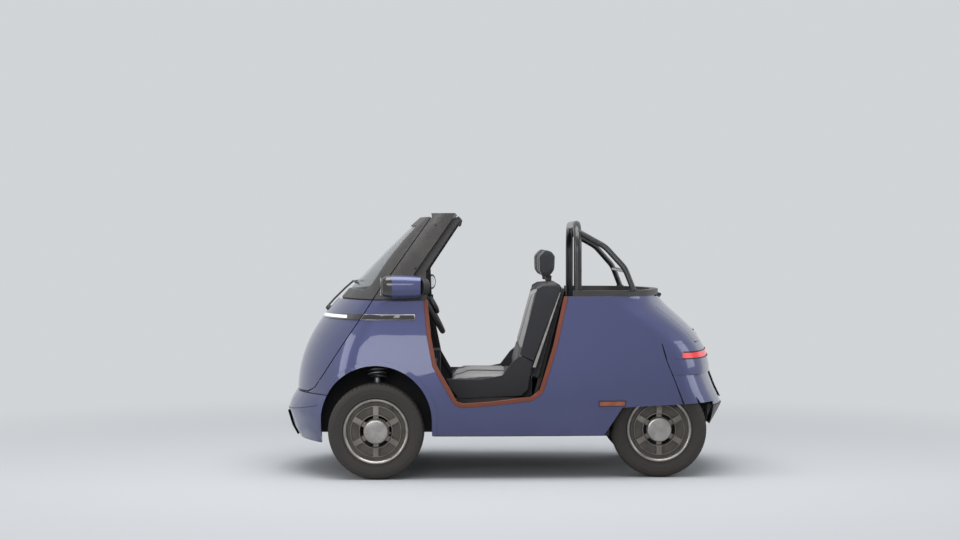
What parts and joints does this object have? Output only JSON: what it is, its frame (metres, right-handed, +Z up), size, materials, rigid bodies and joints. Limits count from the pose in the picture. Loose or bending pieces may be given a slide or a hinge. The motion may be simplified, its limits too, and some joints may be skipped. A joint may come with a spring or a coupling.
{
  "type": "open two-seat microcar with a front door",
  "caption": "Open-topped two-seat bubble microcar: front-hinged windscreen door, side openings, roll hoop, bench seat, side lamp pods and small road wheels.",
  "frame": {"origin": "on the ground under the centre of the car's length and width", "axes": "+X forward, +Y the car's left, +Z up"},
  "size_m": [2.5198, 1.468, 1.475],
  "materials": {
    "body_paint": "metallic",
    "black_trim": "satin",
    "structure": "satin",
    "black_tube": "satin",
    "glass": "clear",
    "lamp_white": "gloss",
    "lamp_dark": "gloss",
    "lamp_red": "gloss",
    "lamp_amber": "gloss",
    "seal": "satin",
    "seat_fabric": "woven",
    "mirror": "polished",
    "wheel_cover": "satin",
    "tyre": "matte",
    "cast_metal": "cast",
    "dark_steel": "satin",
    "grip": "fine grain"
  },
  "bodies": {
    "root": {"side_panel_left": "body_paint", "side_panel_right": "body_paint", "rear_bumper": "black_trim", "windscreen_surround": "black_trim", "floor_tub": "structure", "front_bumper": "body_paint", "tail_lower": "body_paint", "tail_lamp": "lamp_red", "tail_top": "body_paint", "rear_belt_trim": "black_trim", "rear_valance": "black_trim", "hinge_post": "dark_steel", "door_seals": "seal", "side_strips": "lamp_dark", "side_markers": "lamp_amber", "roll_hoop": "black_tube", "hoop_braces": "black_tube", "hoop_cross_bar": "black_tube", "lamp_pod_left": "body_paint", "lamp_pod_right": "body_paint", "lamp_lenses": "lamp_dark", "mirror_glasses": "mirror", "seat_frame": "black_trim", "seat_cushion": "seat_fabric", "backrest": "seat_fabric", "headrests": "seat_fabric", "steering_column": "black_trim", "battery_pack": "dark_steel", "drive_unit": "cast_metal", "rear_axle": "dark_steel", "front_subframe": "dark_steel", "front_struts": "dark_steel"},
    "front_door": {"front_door": "body_paint", "screen_frame": "black_trim", "windscreen": "glass", "light_strip": "lamp_white"},
    "tailgate": {"tailgate": "body_paint"},
    "steering_wheel": {"steering_wheel": "grip"},
    "knuckle_left": {"knuckle_left": "cast_metal"},
    "knuckle_right": {"knuckle_right": "cast_metal"},
    "wheel_front_left": {"rim_front_left": "wheel_cover", "tyre_front_left": "tyre"},
    "wheel_front_right": {"rim_front_right": "wheel_cover", "tyre_front_right": "tyre"},
    "wheel_rear_left": {"rim_rear_left": "wheel_cover", "tyre_rear_left": "tyre"},
    "wheel_rear_right": {"rim_rear_right": "wheel_cover", "tyre_rear_right": "tyre"}
  },
  "joints": [
    {"name": "front_door_hinge", "type": "hinge", "parent": "root", "child": "front_door", "pos_m": [0.83, 0.64, 0.689], "axis": [0, 0, 1], "range_deg": [0, 70]},
    {"name": "tailgate_hinge", "type": "hinge", "parent": "root", "child": "tailgate", "pos_m": [-0.905, 0, 1.006], "axis": [0, 1, 0], "range_deg": [0, 70]},
    {"name": "steer_left", "type": "hinge", "parent": "root", "child": "knuckle_left", "pos_m": [0.718, 0.6, 0.2], "axis": [0, -0.2241, 0.9746], "range_deg": [-30, 30]},
    {"name": "steer_right", "type": "hinge", "parent": "root", "child": "knuckle_right", "pos_m": [0.718, -0.6, 0.2], "axis": [0, 0.2241, 0.9746], "range_deg": [-30, 30]},
    {"name": "steering_wheel_turn", "type": "hinge", "parent": "root", "child": "steering_wheel", "pos_m": [0.43, 0.27, 0.94], "axis": [0.8829, 0, -0.4695], "range_deg": [-420, 420]},
    {"name": "spin_front_left", "type": "hinge", "parent": "knuckle_left", "child": "wheel_front_left", "pos_m": [0.718, 0.64, 0.2665], "axis": [0, 1, 0], "continuous": true},
    {"name": "spin_front_right", "type": "hinge", "parent": "knuckle_right", "child": "wheel_front_right", "pos_m": [0.718, -0.64, 0.2665], "axis": [0, 1, 0], "continuous": true},
    {"name": "spin_rear_left", "type": "hinge", "parent": "root", "child": "wheel_rear_left", "pos_m": [-0.857, 0.515, 0.2665], "axis": [0, 1, 0], "continuous": true},
    {"name": "spin_rear_right", "type": "hinge", "parent": "root", "child": "wheel_rear_right", "pos_m": [-0.857, -0.515, 0.2665], "axis": [0, 1, 0], "continuous": true}
  ],
  "couplings": [
    {"joint": "steer_right", "follows": "steer_left", "ratio": 1},
    {"joint": "steering_wheel_turn", "follows": "steer_left", "ratio": -14}
  ]
}
